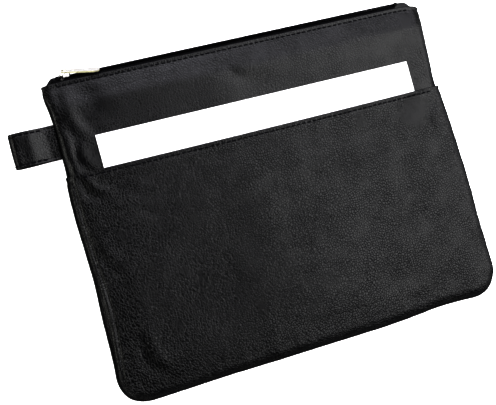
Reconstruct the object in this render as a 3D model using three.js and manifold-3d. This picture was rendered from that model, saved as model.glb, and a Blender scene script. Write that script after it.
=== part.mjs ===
// A flat leather cash deposit bag, lying on its back.
// Two leather panels are sewn round three sides and closed by a zip along the fourth. A slip
// pocket covers the front, a leather loop is sewn into the left side seam, and a paper slip
// stands in the pocket.
// Millimetres. X runs along the zip, Y from the bottom seam to the zip, Z out of the front.
// The origin is the middle of the back panel's flat face.
import * as THREE from 'three';
import { mergeVertices } from 'three/addons/utils/BufferGeometryUtils.js';
import Module from 'manifold-3d';

const wasm = await Module();
wasm.setup();

// Driving dimensions
const gap = 0.3; // kept between pieces that touch in the sewn bag
const leather = 1.2;
const liningCloth = 0.4;
const threadThickness = 0.4;

const bag = {
  halfWidth: 127,
  bottom: -99,
  top: 99,
  cornerRadius: 18,
  cornerDroop: 2.5, // how far the top edge falls at its two ends
  rollWidth: 12, // width of the rounded strip beside the seam
  seamZ: 5.5,
  frontZ: 12.6,
};

const mouth = {
  centreZ: 5.2,
  halfThickness: 4.1, // outside of the leather at the top edge
  depth: 18, // the stretch below the top edge over which the bag thins
};

const pocket = { top: 42, slipRoom: 1 };
const slip = { width: 210, height: 148, thickness: 0.3, centreX: 1, top: 62 };
const stitchInset = 3.6; // top stitch rows below the top edge
const pocketStitchInset = 2.2;

const zip = {
  left: -118,
  right: 116,
  tapeThickness: 0.5,
  tapeBottom: 86,
  tapeTop: 100.6,
  coilInner: 0.4, // half the clear slot that the slider's neck runs in
  coilOuter: 2.5,
  coilHeight: 1.8,
  stopLength: 2,
};

const slider = {
  left: -114.9,
  length: 7,
  plate: 0.5,
  flange: 0.55,
  clearance: 0.25,
  neckThickness: 0.4,
  crownX: 2.2, // middle of the crown, from the slider's left end
  crownLength: 3.9,
  crownWidth: 1.5,
  crownStrap: 0.55,
  crownRoom: 3.3, // clear height under the crown
};

const pull = {
  length: 23.2,
  thickness: 0.8,
  bar: 0.9, // width of metal round the eye
  eyeLength: 2.6,
  eyeWidth: 3.6,
  tipHalfWidth: 3.2,
  tipRadius: 2.8,
  pivotRise: 2.2, // of the eye's bar above the slider's top plate
  roll: 29, // degrees, front edge down
  dip: 12.5, // degrees, tip down towards the chain
  yaw: 15.5, // degrees, tip towards the front of the bag
  sideShift: -0.85, // the crown stands beside the eye's front leg
};

const loop = {
  centreY: 64.2,
  width: 21.5,
  reach: 26, // from the side seam to the tip
  leather: 1.3,
  eyeHalf: 2.25, // half the clear gap inside the fold
  stitchInset: 1.8,
};

// Worked-out places
const rimLift = gap / 2;
const tapeGap = 1.5 * gap; // the tape is straight where the leather's skin is rounded
const coilBottom = zip.tapeTop + 0.2;
const coilTop = coilBottom + zip.coilHeight;
const stopRight = slider.left - gap;
const stopLeft = stopRight - zip.stopLength;
const coilLeft = stopRight + gap;
const bottomStopLeft = zip.right - 4.4;
const coilRight = bottomStopLeft - gap;
const tapeStackDepth = leather + tapeGap + zip.tapeThickness + gap; // lining is inside the tape
const liningInset = 6.5;

const colours = {
  leather: 0x242427,
  darkLeather: 0x1d1d1f,
  lining: 0x2c2c30,
  tape: 0x111113,
  coil: 0x0b0b0c,
  thread: 0x101012,
  steel: 0xd8d8d6,
  paper: 0xf5f5f2,
};

function material(colour, roughness, metalness = 0) {
  return new THREE.MeshStandardMaterial({ color: colour, roughness, metalness });
}

function named(name, geometry, look) {
  const mesh = new THREE.Mesh(geometry, look);
  mesh.name = name;
  return mesh;
}

const degrees = THREE.MathUtils.degToRad;
const smooth = (value, low, high) => THREE.MathUtils.smoothstep(value, low, high);
const even = (count) => Array.from({ length: count + 1 }, (_, step) => step / count);

// Solids for joining and cutting
function solid(geometry) {
  const bare = geometry.clone();
  bare.deleteAttribute('normal');
  bare.deleteAttribute('uv');
  const merged = mergeVertices(bare);
  return new wasm.Manifold(new wasm.Mesh({
    numProp: 3,
    vertProperties: new Float32Array(merged.attributes.position.array),
    triVerts: new Uint32Array(merged.index.array),
  }));
}

function geometryOf(body) {
  const mesh = body.getMesh();
  const geometry = new THREE.BufferGeometry();
  geometry.setAttribute('position', new THREE.BufferAttribute(mesh.vertProperties, 3));
  geometry.setIndex(new THREE.BufferAttribute(mesh.triVerts, 1));
  geometry.computeVertexNormals();
  return geometry;
}

function box(low, high) {
  const size = high.map((value, axis) => value - low[axis]);
  const geometry = new THREE.BoxGeometry(...size);
  return geometry.translate(...low.map((value, axis) => value + size[axis] / 2));
}

// A shape drawn as (-z, y), run along X
function alongX(shape, fromX, toX) {
  const geometry = new THREE.ExtrudeGeometry(shape, { depth: toX - fromX, bevelEnabled: false });
  return geometry.rotateY(Math.PI / 2).translate(fromX, 0, 0);
}

// A shape drawn as (x, z), run along Y
function alongY(shape, fromY, toY, curveSegments = 6) {
  const options = { depth: toY - fromY, bevelEnabled: false, curveSegments };
  return new THREE.ExtrudeGeometry(shape, options).rotateX(Math.PI / 2).translate(0, toY, 0);
}

// The bag's skins. Each is a grid of points over the rounded outline of the bag, and a
// panel is the closed body between two such grids.
function distanceToOutline(x, y, outset) {
  const half = bag.halfWidth + outset;
  const radius = bag.cornerRadius + outset;
  const centreX = half - radius;
  const centreY = bag.bottom - outset + radius;
  if (y >= centreY) return half - Math.abs(x);
  if (Math.abs(x) <= centreX) return y - (bag.bottom - outset);
  return radius - Math.hypot(Math.abs(x) - centreX, y - centreY);
}

function rollHeight(x, y, outset) {
  const width = bag.rollWidth + outset;
  const distance = THREE.MathUtils.clamp(distanceToOutline(x, y, outset), 0, width);
  return Math.sqrt(1 - (1 - distance / width) ** 2);
}

const mouthShare = (y) => smooth(y, bag.top - mouth.depth, bag.top);
const droop = (x) => bag.cornerDroop * Math.abs(x / bag.halfWidth) ** 6;

function frontPlateau(y) {
  return THREE.MathUtils.lerp(bag.frontZ, mouth.centreZ + mouth.halfThickness, mouthShare(y));
}

function backPlateau(y) {
  return (mouth.centreZ - mouth.halfThickness) * mouthShare(y);
}

function frontSkinZ(x, y, outset, lift) {
  const rim = bag.seamZ + rimLift;
  return rim + (frontPlateau(y) + lift - rim) * rollHeight(x, y, outset);
}

function backSkinZ(x, y, outset, lift) {
  const rim = bag.seamZ - rimLift;
  return rim + (backPlateau(y) + lift - rim) * rollHeight(x, y, outset);
}

// Rows climb from the bottom seam: round the corner, then straight to the top edge.
function skinGrid({ outset, lift, topRows, skinZ, droops = true }) {
  const half = bag.halfWidth + outset;
  const radius = bag.cornerRadius + outset;
  const roll = bag.rollWidth + outset;
  const bottom = bag.bottom - outset;
  const corner = even(6).map((turn) => ({
    y: bottom + radius * (1 - Math.cos(turn * Math.PI / 2)),
    half: half - radius * (1 - Math.sin(turn * Math.PI / 2)),
  }));
  const rows = [...corner, ...topRows.map((y) => ({ y, half }))];
  const edge = even(5).map((turn) => roll * (1 - Math.cos(turn * Math.PI / 2)));
  return rows.map((row) => {
    const innerHalf = row.half - roll;
    const right = edge.map((distance) => row.half - distance).reverse();
    const middle = [-innerHalf / 2, 0, innerHalf / 2];
    const columns = [...right.map((x) => -x).reverse(), ...middle, ...right];
    return columns.map((x) => {
      const z = skinZ(x, row.y, outset, lift);
      const drop = droops ? droop(x) * mouthShare(row.y) : 0;
      return new THREE.Vector3(x, row.y - drop, z);
    });
  });
}

function bodyBetween(upper, lower) {
  const rowCount = upper.length;
  const columnCount = upper[0].length;
  const index = [];
  const at = (layer, row, column) => (layer * rowCount + row) * columnCount + column;
  const quad = (a, b, c, d) => index.push(a, b, c, a, c, d);
  for (let row = 0; row < rowCount - 1; row += 1) {
    for (let column = 0; column < columnCount - 1; column += 1) {
      const [right, above] = [column + 1, row + 1];
      quad(at(0, row, column), at(0, row, right), at(0, above, right), at(0, above, column));
      quad(at(1, row, column), at(1, above, column), at(1, above, right), at(1, row, right));
    }
  }
  const edge = [];
  for (let column = 0; column < columnCount - 1; column += 1) edge.push([0, column]);
  for (let row = 0; row < rowCount - 1; row += 1) edge.push([row, columnCount - 1]);
  for (let column = columnCount - 1; column > 0; column -= 1) edge.push([rowCount - 1, column]);
  for (let row = rowCount - 1; row > 0; row -= 1) edge.push([row, 0]);
  edge.forEach((here, step) => {
    const next = edge[(step + 1) % edge.length];
    quad(at(0, ...here), at(1, ...here), at(1, ...next), at(0, ...next));
  });
  const geometry = new THREE.BufferGeometry();
  const points = [...upper.flat(), ...lower.flat()].flatMap((point) => point.toArray());
  geometry.setAttribute('position', new THREE.Float32BufferAttribute(points, 3));
  geometry.setIndex(index);
  geometry.computeVertexNormals();
  return geometry;
}

const bodyRows = (top) => {
  const foot = bag.bottom + bag.cornerRadius;
  const waist = bag.top - mouth.depth;
  const straight = even(3).slice(1).map((share) => THREE.MathUtils.lerp(foot, waist, share));
  const thinning = even(3).slice(1).map((share) => THREE.MathUtils.lerp(waist, top, share));
  return [...straight, ...thinning];
};

// Leather panels: nominal outline outside, one leather thickness in from it inside
function frontPanel() {
  const shared = { topRows: bodyRows(bag.top), skinZ: frontSkinZ };
  const outer = skinGrid({ ...shared, outset: 0, lift: 0 });
  const inner = skinGrid({ ...shared, outset: -leather, lift: -leather });
  return named('front_panel', bodyBetween(outer, inner), material(colours.leather, 0.5));
}

function backPanel() {
  const shared = { topRows: bodyRows(bag.top), skinZ: backSkinZ };
  const outer = skinGrid({ ...shared, outset: 0, lift: 0 });
  const inner = skinGrid({ ...shared, outset: -leather, lift: leather });
  return named('back_panel', bodyBetween(inner, outer), material(colours.darkLeather, 0.5));
}

// The slip pocket wraps round the front panel and is sewn into the same seam.
function pocketPanel() {
  const foot = bag.bottom + bag.cornerRadius;
  const topRows = even(3).slice(1).map((share) => THREE.MathUtils.lerp(foot, pocket.top, share));
  const shared = { topRows, skinZ: frontSkinZ, droops: false };
  const outer = skinGrid({ ...shared, outset: gap + leather, lift: pocket.slipRoom + leather });
  const inner = skinGrid({ ...shared, outset: gap, lift: pocket.slipRoom });
  return named('pocket_panel', bodyBetween(outer, inner), material(colours.leather, 0.5));
}

// Cloth lining: a smaller bag inside the leather one
function liningPanel(name, skinZ, direction) {
  const liningTop = bag.top - stitchInset + 0.6;
  const shared = { topRows: bodyRows(liningTop), skinZ };
  const facing = skinGrid({ ...shared, outset: -liningInset, lift: -direction * tapeStackDepth });
  const inside = skinGrid({
    ...shared,
    outset: -liningInset - liningCloth,
    lift: -direction * (tapeStackDepth + liningCloth),
  });
  const geometry = direction > 0 ? bodyBetween(facing, inside) : bodyBetween(inside, facing);
  return named(name, geometry, material(colours.lining, 0.9));
}

// Zip. Each tape lies under its coil, turns over the edge of the mouth and follows the
// inside of its leather panel down to tapeBottom.
function tapePoints(direction, offset) {
  const turnRadius = 1.2;
  const flatY = zip.tapeTop - zip.tapeThickness / 2;
  const leg = mouth.halfThickness - leather - tapeGap - zip.tapeThickness / 2;
  const points = [[zip.coilInner + 0.2, flatY + offset]];
  for (const share of even(4)) {
    const turn = share * Math.PI / 2;
    const radius = turnRadius + offset;
    const across = leg - turnRadius + radius * Math.sin(turn);
    points.push([across, flatY - turnRadius + radius * Math.cos(turn)]);
  }
  const plateau = direction > 0 ? frontPlateau : (y) => -backPlateau(y);
  const plateauAtTop = plateau(bag.top);
  for (const y of [93.5, 90, zip.tapeBottom]) {
    points.push([leg + plateau(y) - plateauAtTop + offset, y]);
  }
  return points.map(([across, y]) => new THREE.Vector2(-(mouth.centreZ + direction * across), y));
}

function zipTape(name, direction) {
  const half = zip.tapeThickness / 2;
  const outline = [...tapePoints(direction, half), ...tapePoints(direction, -half).reverse()];
  const geometry = alongX(new THREE.Shape(outline), zip.left, zip.right);
  return named(name, geometry, material(colours.tape, 0.85));
}

function zipCoil(name, direction) {
  const across = mouth.centreZ + direction * (zip.coilInner + zip.coilOuter) / 2;
  const section = new THREE.Shape();
  const halfWidth = (zip.coilOuter - zip.coilInner) / 2;
  const centreY = coilBottom + zip.coilHeight / 2;
  section.absellipse(-across, centreY, halfWidth, zip.coilHeight / 2, 0, 2 * Math.PI);
  const run = { depth: coilRight - coilLeft, bevelEnabled: false, curveSegments: 5 };
  const geometry = new THREE.ExtrudeGeometry(section, run);
  geometry.rotateY(Math.PI / 2).translate(coilLeft, 0, 0);
  return named(name, geometry, material(colours.coil, 0.4));
}

function topStop(name, direction) {
  const near = mouth.centreZ + direction * zip.coilInner;
  const far = mouth.centreZ + direction * (zip.coilOuter + 0.1);
  const low = [stopLeft, coilBottom, Math.min(near, far)];
  const high = [stopRight, coilTop + 0.2, Math.max(near, far)];
  return named(name, box(low, high), material(colours.steel, 0.3, 1));
}

function bottomStop() {
  const half = zip.coilOuter + 0.1;
  const low = [bottomStopLeft, coilBottom, mouth.centreZ - half];
  const high = [bottomStopLeft + zip.stopLength, coilTop + 0.2, mouth.centreZ + half];
  return named('bottom_stop', box(low, high), material(colours.steel, 0.3, 1));
}

// Slider, drawn about its left end and the middle of the chain
const plateBottom = coilTop + slider.clearance;
const plateTop = plateBottom + slider.plate;
const flangeInner = zip.coilOuter + slider.clearance;
const flangeOuter = flangeInner + slider.flange;

function sliderTopPlate() {
  const tail = flangeOuter - 1;
  const outline = new THREE.Shape();
  const noseEnd = flangeOuter + 1.2;
  outline.absarc(flangeOuter, 0, flangeOuter, Math.PI / 2, 1.5 * Math.PI, false);
  outline.lineTo(noseEnd, -flangeOuter);
  outline.absarc(slider.length - 1, -tail + 1, 1, -Math.PI / 2, 0, false);
  outline.absarc(slider.length - 1, tail - 1, 1, 0, Math.PI / 2, false);
  outline.lineTo(noseEnd, flangeOuter);
  return alongY(outline, plateBottom, plateTop);
}

function sliderCrown() {
  const left = slider.crownX - slider.crownLength / 2;
  const right = left + slider.crownLength;
  const top = plateTop + slider.crownRoom + slider.crownStrap;
  const round = 0.9;
  const arch = new THREE.Shape();
  arch.moveTo(left, plateBottom + 0.1);
  arch.lineTo(right, plateBottom + 0.1);
  arch.absarc(right - round, top - round, round, 0, Math.PI / 2, false);
  arch.absarc(left + round, top - round, round, Math.PI / 2, Math.PI, false);
  const tunnel = new THREE.Path();
  const inset = slider.crownStrap;
  const small = round - inset;
  tunnel.moveTo(left + inset, plateTop);
  tunnel.lineTo(left + inset, top - round);
  tunnel.absarc(left + inset + small, top - round, small, Math.PI, Math.PI / 2, true);
  tunnel.absarc(right - inset - small, top - round, small, Math.PI / 2, 0, true);
  tunnel.lineTo(right - inset, plateTop);
  arch.holes.push(tunnel);
  const run = { depth: slider.crownWidth, bevelEnabled: false, curveSegments: 4 };
  return new THREE.ExtrudeGeometry(arch, run).translate(0, 0, -slider.crownWidth / 2);
}

function sliderBody() {
  const flangeFoot = coilBottom + 0.5;
  const undersideTop = zip.tapeTop - zip.tapeThickness - 0.9;
  const undersideHalf = mouth.halfThickness - tapeStackDepth - 0.05;
  const neckHalf = slider.neckThickness / 2;
  let body = solid(sliderTopPlate());
  for (const side of [-1, 1]) {
    const [near, far] = [side * flangeInner, side * flangeOuter].sort((a, b) => a - b);
    const wall = box([2, flangeFoot, near], [slider.length - 1.2, plateBottom + 0.1, far]);
    body = body.add(solid(wall));
  }
  const underside = box(
    [0.2, undersideTop - slider.plate, -undersideHalf],
    [slider.length - 0.3, undersideTop, undersideHalf],
  );
  const neck = box([0.3, undersideTop - 0.1, -neckHalf], [2, plateBottom + 0.1, neckHalf]);
  body = body.add(solid(underside)).add(solid(neck)).add(solid(sliderCrown()));
  return named('slider_body', geometryOf(body), material(colours.steel, 0.25, 1));
}

// Pull tab, drawn along +X from the bar that passes under the crown
function pullTab() {
  const halfThickness = pull.thickness / 2;
  const halfBar = pull.bar / 2;
  const eyeHalf = pull.eyeWidth / 2;
  const shoulder = eyeHalf + pull.bar;
  const tip = pull.length;
  const outline = new THREE.Shape();
  outline.moveTo(-halfBar, -shoulder + 0.6);
  outline.lineTo(-halfBar + 0.6, -shoulder);
  outline.lineTo(pull.eyeLength + 1, -shoulder);
  const [roundX, roundZ] = [tip - pull.tipRadius, pull.tipHalfWidth - pull.tipRadius];
  outline.absarc(roundX, -roundZ, pull.tipRadius, -Math.PI / 2, 0, false);
  outline.absarc(roundX, roundZ, pull.tipRadius, 0, Math.PI / 2, false);
  outline.lineTo(pull.eyeLength + 1, shoulder);
  outline.lineTo(-halfBar + 0.6, shoulder);
  outline.lineTo(-halfBar, shoulder - 0.6);
  const eye = new THREE.Path();
  eye.moveTo(halfBar, -eyeHalf);
  eye.lineTo(halfBar, eyeHalf);
  eye.lineTo(halfBar + pull.eyeLength, eyeHalf);
  eye.lineTo(halfBar + pull.eyeLength, -eyeHalf);
  outline.holes.push(eye);
  const plate = alongY(outline, -halfThickness, halfThickness).translate(0, 0, pull.sideShift);
  const mesh = named('pull_tab', plate, material(colours.steel, 0.25, 1));
  mesh.position.set(slider.crownX, plateTop + pull.pivotRise, 0);
  mesh.rotation.set(degrees(pull.roll), degrees(-pull.yaw), degrees(-pull.dip), 'YZX');
  return mesh;
}

// Leather loop: a strap folded on itself, wide at the fold and pinched at the side seam.
// The curve runs from the seam end to the fold; half is its distance from the middle plane.
const strapHalf = loop.leather / 2;
const rootRadius = leather / 2 + strapHalf + 0.15;
const loopRootX = -bag.halfWidth - gap - rootRadius;
const foldCentre = loop.eyeHalf + strapHalf;
const foldX = -bag.halfWidth - loop.reach + foldCentre + strapHalf;

function loopHalf(x) {
  const opening = smooth(loopRootX - x, 1.5, 13);
  return THREE.MathUtils.lerp(rootRadius - strapHalf, foldCentre, opening);
}

function loopSide(offset, fromX) {
  return even(6).map((share) => {
    const x = THREE.MathUtils.lerp(fromX, foldX, share);
    return [x, loopHalf(x) + offset];
  });
}

// One strip of the folded strap, between two offsets from its middle, starting at fromX
function traceLoop(path, offset, fromX) {
  const side = loopSide(offset, fromX);
  path.moveTo(side[0][0], bag.seamZ + side[0][1]);
  side.slice(1).forEach(([x, half]) => path.lineTo(x, bag.seamZ + half));
  path.absarc(foldX, bag.seamZ, foldCentre + offset, Math.PI / 2, 1.5 * Math.PI, false);
  side.reverse().slice(1).forEach(([x, half]) => path.lineTo(x, bag.seamZ - half));
  return path;
}

function loopStrap() {
  const outline = traceLoop(new THREE.Shape(), strapHalf, loopRootX);
  outline.absarc(loopRootX, bag.seamZ, rootRadius, 1.5 * Math.PI, 2.5 * Math.PI, false);
  outline.holes.push(traceLoop(new THREE.Path(), -strapHalf, loopRootX - 2));
  const [low, high] = [loop.centreY - loop.width / 2, loop.centreY + loop.width / 2];
  return named('loop_strap', alongY(outline, low, high, 8), material(colours.leather, 0.5));
}

function loopThread(name, y) {
  const startX = loopRootX - 1.8;
  const outer = traceLoop(new THREE.Shape(), strapHalf + gap + threadThickness, startX);
  const inner = traceLoop(new THREE.Path(), strapHalf + gap, startX);
  const outline = new THREE.Shape([...outer.getPoints(6), ...inner.getPoints(6).reverse()]);
  const geometry = alongY(outline, y - threadThickness / 2, y + threadThickness / 2);
  return named(name, geometry, material(colours.thread, 0.7));
}

// Threads: a square section run along a curve
function threadAlong(name, extrudePath, steps) {
  const half = threadThickness / 2;
  const section = new THREE.Shape();
  section.moveTo(-half, -half);
  section.lineTo(half, -half);
  section.lineTo(half, half);
  section.lineTo(-half, half);
  const geometry = new THREE.ExtrudeGeometry(section, { steps, extrudePath, bevelEnabled: false });
  return named(name, geometry, material(colours.thread, 0.7));
}

function threadRow(name, halfLength, rowY, rowZ) {
  const points = even(12).map((share) => {
    const x = THREE.MathUtils.lerp(-halfLength, halfLength, share);
    const y = rowY(x);
    return new THREE.Vector3(x, y, rowZ(x, y));
  });
  return threadAlong(name, new THREE.CatmullRomCurve3(points), 24);
}

// The seam round three sides, from leftTop down, round the bottom and up to rightTop
function seamThread(name, outset, leftTop, rightTop) {
  const half = bag.halfWidth + outset;
  const radius = bag.cornerRadius + outset;
  const bottom = bag.bottom - outset;
  const arcHandle = radius * (1 - 0.5523); // where a Bezier quarter circle has its handles
  const [footX, footY] = [half - radius, bottom + radius];
  const at = (x, y) => new THREE.Vector3(x, y, bag.seamZ);
  const path = new THREE.CurvePath();
  path.add(new THREE.LineCurve3(at(-half, leftTop), at(-half, footY)));
  path.add(new THREE.CubicBezierCurve3(
    at(-half, footY),
    at(-half, bottom + arcHandle),
    at(-half + arcHandle, bottom),
    at(-footX, bottom),
  ));
  path.add(new THREE.LineCurve3(at(-footX, bottom), at(footX, bottom)));
  path.add(new THREE.CubicBezierCurve3(
    at(footX, bottom),
    at(half - arcHandle, bottom),
    at(half, bottom + arcHandle),
    at(half, footY),
  ));
  path.add(new THREE.LineCurve3(at(half, footY), at(half, rightTop)));
  return threadAlong(name, path, 80);
}

function threads() {
  const lift = gap + threadThickness / 2;
  const rowEnd = bag.halfWidth - 8;
  const topRowY = (x) => bag.top - stitchInset - droop(x) * mouthShare(bag.top - stitchInset);
  const seamOutset = -leather - lift;
  const liningOutset = -liningInset + lift + gap;
  const seamTop = bag.top - stitchInset - 3;
  const loopTop = loop.centreY + loop.width / 2;
  const loopBottom = loop.centreY - loop.width / 2;
  const leftX = -bag.halfWidth - seamOutset;
  const behindLoop = new THREE.LineCurve3(
    new THREE.Vector3(leftX, loopBottom - 1, bag.seamZ),
    new THREE.Vector3(leftX, seamTop, bag.seamZ),
  );
  const pocketY = pocket.top - pocketStitchInset;
  const pocketFace = pocket.slipRoom + leather;
  return [
    threadRow('front_top_thread', rowEnd, topRowY, (x, y) => frontSkinZ(x, y, 0, 0) + lift),
    threadRow('back_top_thread', rowEnd, topRowY, (x, y) => backSkinZ(x, y, 0, 0) - lift),
    threadRow('pocket_top_thread', rowEnd, () => pocketY,
      (x, y) => frontSkinZ(x, y, gap + leather, pocketFace) + lift),
    seamThread('side_seam_thread', seamOutset, loopBottom - 2, seamTop),
    seamThread('lining_seam_thread', liningOutset, seamTop, seamTop),
    threadAlong('loop_anchor_thread', behindLoop, 4),
    loopThread('loop_thread_upper', loopTop - loop.stitchInset),
    loopThread('loop_thread_lower', loopBottom + loop.stitchInset),
  ];
}

function depositSlip() {
  const bottomZ = bag.frontZ + gap;
  const low = [slip.centreX - slip.width / 2, slip.top - slip.height, bottomZ];
  const high = [slip.centreX + slip.width / 2, slip.top, bottomZ + slip.thickness];
  return named('deposit_slip', box(low, high), material(colours.paper, 0.9));
}

const sliderGroup = new THREE.Group();
sliderGroup.position.set(slider.left, 0, mouth.centreZ);
sliderGroup.add(sliderBody(), pullTab());

const depositBag = new THREE.Group();
depositBag.add(
  backPanel(),
  frontPanel(),
  pocketPanel(),
  liningPanel('back_lining', backSkinZ, -1),
  liningPanel('front_lining', frontSkinZ, 1),
  zipTape('back_zip_tape', -1),
  zipTape('front_zip_tape', 1),
  zipCoil('back_zip_coil', -1),
  zipCoil('front_zip_coil', 1),
  topStop('back_top_stop', -1),
  topStop('front_top_stop', 1),
  bottomStop(),
  sliderGroup,
  loopStrap(),
  depositSlip(),
  ...threads(),
);

export default depositBag;
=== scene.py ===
"""A flat leather cash deposit bag: turned leather panels, slip pocket, coil zip and loop tab.

Lengths in the functions are millimetres in the bag's own frame: X runs along the zip, Y from
the bottom seam to the zip, Z out of the front. They become metres where a mesh is made.
"""

import math

import bmesh
import bpy
import numpy as np
from mathutils import Matrix, Vector


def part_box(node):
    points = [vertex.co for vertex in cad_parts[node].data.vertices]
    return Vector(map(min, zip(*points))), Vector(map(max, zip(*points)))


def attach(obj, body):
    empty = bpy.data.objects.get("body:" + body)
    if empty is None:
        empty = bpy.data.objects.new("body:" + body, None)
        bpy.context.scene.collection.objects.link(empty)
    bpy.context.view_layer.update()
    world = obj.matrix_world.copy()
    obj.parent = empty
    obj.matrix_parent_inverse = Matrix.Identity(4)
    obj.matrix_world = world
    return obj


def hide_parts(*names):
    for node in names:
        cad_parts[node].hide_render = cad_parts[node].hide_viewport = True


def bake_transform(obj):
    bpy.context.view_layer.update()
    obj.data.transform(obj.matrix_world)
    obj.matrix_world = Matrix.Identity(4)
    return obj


MM = 0.001


# ---------------------------------------------------------------- camera
# fitted to the bag's corners, the pocket's edge, the slip's corners and the loop
CAMERA_PLACE = (-176.7, -17.6, 582.5)
CAMERA_AHEAD = (0.2597, 0.0285, -0.9653)
CAMERA_UP = (0.2499, 0.9635, 0.0957)
CAMERA_SENSOR = 36
CAMERA_LENS = 68.95


def add_camera():
    """The photo's camera."""
    data = bpy.data.cameras.new("camera")
    data.sensor_width = CAMERA_SENSOR
    data.lens = CAMERA_LENS
    camera = bpy.data.objects.new("camera", data)
    bpy.context.scene.collection.objects.link(camera)
    ahead = Vector(CAMERA_AHEAD).normalized()
    right = ahead.cross(Vector(CAMERA_UP)).normalized()
    up = right.cross(ahead)
    turn = Matrix((right, up, -ahead)).transposed().to_4x4()
    camera.matrix_world = Matrix.Translation(Vector(CAMERA_PLACE) * MM) @ turn
    bpy.context.scene.camera = camera


add_camera()
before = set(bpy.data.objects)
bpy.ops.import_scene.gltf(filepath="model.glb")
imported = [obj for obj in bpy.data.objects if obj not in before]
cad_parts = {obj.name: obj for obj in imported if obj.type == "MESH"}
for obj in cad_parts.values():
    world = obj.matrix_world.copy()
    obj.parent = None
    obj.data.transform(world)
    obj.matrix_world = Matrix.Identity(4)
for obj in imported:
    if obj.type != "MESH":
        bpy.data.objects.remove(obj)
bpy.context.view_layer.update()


def node_box(node):
    """The lowest and highest corner of a CAD node, in millimetres."""
    low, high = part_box(node)
    return np.array(low) / MM, np.array(high) / MM


# ---------------------------------------------------------------- measures
front_low, front_high = node_box("front_panel")
pocket_high = node_box("pocket_panel")[1]
lining_high = node_box("front_lining")[1]
strap_low, strap_high = node_box("loop_strap")
slip_low, slip_high = node_box("deposit_slip")
tape_low, tape_high = node_box("front_zip_tape")
coil_low, coil_high = node_box("front_zip_coil")

HALF = front_high[0]  # half the bag's width
BOTTOM = front_low[1]
TOP = front_high[1]
FRONT_Z = front_high[2]
SEAM_Z = 5.5  # where front and back meet at the sides and the bottom
MOUTH_Z = 5.2  # the middle of the zip
MOUTH_HALF = 4.1  # from there to the leather's outside at the top edge
MOUTH_DEPTH = 18.0  # the bag thins over this much below the top edge
CORNER_RADIUS = 18.0
CORNER_DROOP = {"left": 0.7, "right": 2.6}  # of the top edge
ROLL_WIDTH = 9.0  # the rounded strip beside the seam
ROLL_POWER = 2.8  # 2 is an ellipse, and more is squarer
BACK_RISE = 4.8  # how far the back's top edge stands above the front's
LEATHER = 1.2  # thickness
LIP = LEATHER / 2  # radius of a turned top edge
POCKET_OUTSET = pocket_high[0] - HALF
POCKET_TOP = pocket_high[1]
SEAM_FILLET = 1.0  # radius with which each leather turns into the seam
STITCH_PITCH = 3.65
TOP_STITCH_Y = TOP - 2.5
POCKET_STITCH_Y = POCKET_TOP - 2.9
GRID_PITCH = 1.3  # of the panels' meshes

LINING_SKIN = {"outset": -6.5, "lift": -2.45, "top": lining_high[1], "thickness": 0.4}
SKINS = {
    # side: 1 faces the front, -1 the back. outset is beyond the bag's outline, and lift is above
    # its plain skin. top is where the rounded top edge starts.
    "front": {"side": 1, "outset": 0, "lift": 0, "top": TOP - LIP, "thickness": LEATHER},
    "back": {
        "side": -1,
        "outset": 0,
        "lift": 0,
        "top": TOP + BACK_RISE - LIP,
        "thickness": LEATHER,
    },
    "pocket": {
        "side": 1,
        "outset": POCKET_OUTSET,
        "lift": pocket_high[2] - FRONT_Z,
        "top": POCKET_TOP - LIP - 0.3,
        "thickness": LEATHER,
    },
    "front_lining": {"side": 1, **LINING_SKIN},
    "back_lining": {"side": -1, **LINING_SKIN},
}


# ---------------------------------------------------------------- fields
def smooth(value, low, high):
    """0 at low, 1 at high, and an even curve between them."""
    share = np.clip((np.asarray(value, float) - low) / (high - low), 0, 1)
    return share * share * (3 - 2 * share)


def hump(value, middle, width):
    """1 at the middle, falling to nothing about two widths away."""
    return np.exp(-(((value - middle) / width) ** 2))


def waves(x, y, length, seed, count=16):
    """A smooth random field from about -1 to 1, with bumps about length apart."""
    rng = np.random.default_rng(seed)
    total = 0
    for _ in range(count):
        angle = rng.uniform(0, 2 * math.pi)
        rate = 2 * math.pi / (length * rng.uniform(0.7, 1.5))
        along = x * math.cos(angle) + y * math.sin(angle)
        total = total + np.sin(rate * along + rng.uniform(0, 2 * math.pi))
    return total / math.sqrt(2 * count)


def edge_distance(x, y, outset):
    """How far (x, y) lies inside the rounded outline."""
    half = HALF + outset
    radius = CORNER_RADIUS + outset
    across = np.abs(x) - (half - radius)
    down = (BOTTOM - outset + radius) - y
    round_part = radius - np.hypot(np.maximum(across, 0), np.maximum(down, 0))
    side_part = half - np.abs(x)
    bottom_part = y - (BOTTOM - outset)
    straight = np.where(down > 0, bottom_part, side_part)
    return np.where((across > 0) & (down > 0), round_part, straight)


def edge_run(x, y):
    """A length that grows along the outline, from the middle of the bottom, minus on the left."""
    flat = HALF - CORNER_RADIUS
    across = np.maximum(np.abs(x) - flat, 0)
    down = np.maximum(BOTTOM + CORNER_RADIUS - y, 0)
    turn = np.arctan2(across, down + 1e-6)
    up = np.maximum(y - BOTTOM - CORNER_RADIUS, 0)
    run = np.minimum(np.abs(x), flat) + np.where(across + down > 0, turn, 0) * CORNER_RADIUS + up
    return np.sign(x) * run


# ---------------------------------------------------------------- the bag's skins
def mouth_share(y):
    """0 in the bag's flat part and 1 at its top edge."""
    return smooth(y, TOP - MOUTH_DEPTH, TOP)


def droop(x):
    """How far the top edge sinks: not at all in the middle, and fast at its two corners."""
    depth = np.where(x < 0, CORNER_DROOP["left"], CORNER_DROOP["right"])
    return depth * np.abs(x / HALF) ** 22


def plateau(side, y):
    """The height of the bag's plain skin away from its seams."""
    if side > 0:
        return FRONT_Z + (MOUTH_Z + MOUTH_HALF - FRONT_Z) * mouth_share(y)
    return (MOUTH_Z - MOUTH_HALF) * mouth_share(y)


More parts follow.
